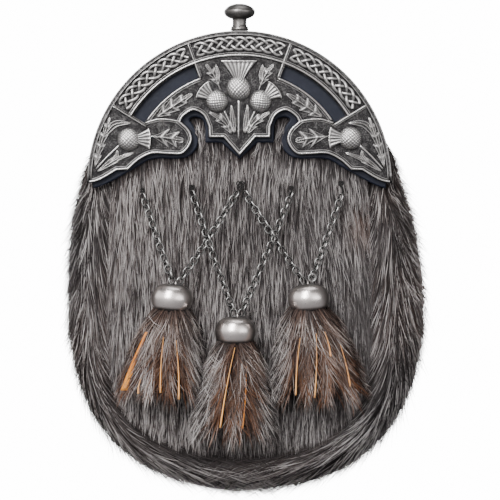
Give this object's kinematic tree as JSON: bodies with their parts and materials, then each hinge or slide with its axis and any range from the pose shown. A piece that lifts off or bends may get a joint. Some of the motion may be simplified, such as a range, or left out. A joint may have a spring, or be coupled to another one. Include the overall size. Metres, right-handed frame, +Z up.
{
  "type": "sporran pouch",
  "caption": "Highland dress sporran: fur-covered leather pouch with a pierced pewter cantle, a knob and fur tassels on chains.",
  "frame": {"origin": "on the outer face of the back panel, midway between the two strap loops", "axes": "+Z up as worn, +Y from the front towards the wearer, +X to the right as seen from the front"},
  "size_m": [0.1791, 0.0769, 0.2409],
  "materials": {
    "pouch_leather": "black grain leather with a dull sheen",
    "backing_leather": "smooth dark navy leather, semi-gloss",
    "grey_fur": "dense grey-brown fur with pale guard hairs",
    "tassel_fur": "longer grey-brown fur with rust tones",
    "pewter": "antiqued cast pewter, bright on the raised edges and dark in the recesses",
    "satin_pewter": "satin pewter",
    "chain_metal": "antiqued silver chain",
    "tan_hide": "raw tan edge of cut hide",
    "black_thread": "black waxed thread"
  },
  "bodies": {
    "root": {"back_panel": "pouch_leather", "front_panel": "pouch_leather", "side_gusset": "pouch_leather", "top_gusset": "pouch_leather", "cantle_backing": "backing_leather", "strap_loop_left": "pouch_leather", "strap_loop_right": "pouch_leather", "closing_tab": "pouch_leather", "front_fur": "grey_fur", "gusset_fur": "grey_fur", "cantle": "pewter", "knob": "pewter", "tassel_cap_left": "satin_pewter", "tassel_cap_middle": "satin_pewter", "tassel_cap_right": "satin_pewter", "tassel_fur_left": "tassel_fur", "tassel_fur_middle": "tassel_fur", "tassel_fur_right": "tassel_fur", "strip_left_1": "tan_hide", "strip_left_2": "tan_hide", "strip_left_3": "tan_hide", "strip_middle_1": "tan_hide", "strip_middle_2": "tan_hide", "strip_right_1": "tan_hide", "strip_right_2": "tan_hide", "strip_right_3": "tan_hide", "chain_outer_left": "chain_metal", "chain_inner_left": "chain_metal", "chain_middle_left": "chain_metal", "chain_middle_right": "chain_metal", "chain_inner_right": "chain_metal", "chain_outer_right": "chain_metal", "tie_outer_left": "black_thread", "tie_left": "black_thread", "tie_middle": "black_thread", "tie_right": "black_thread", "tie_outer_right": "black_thread"}
  },
  "joints": []
}
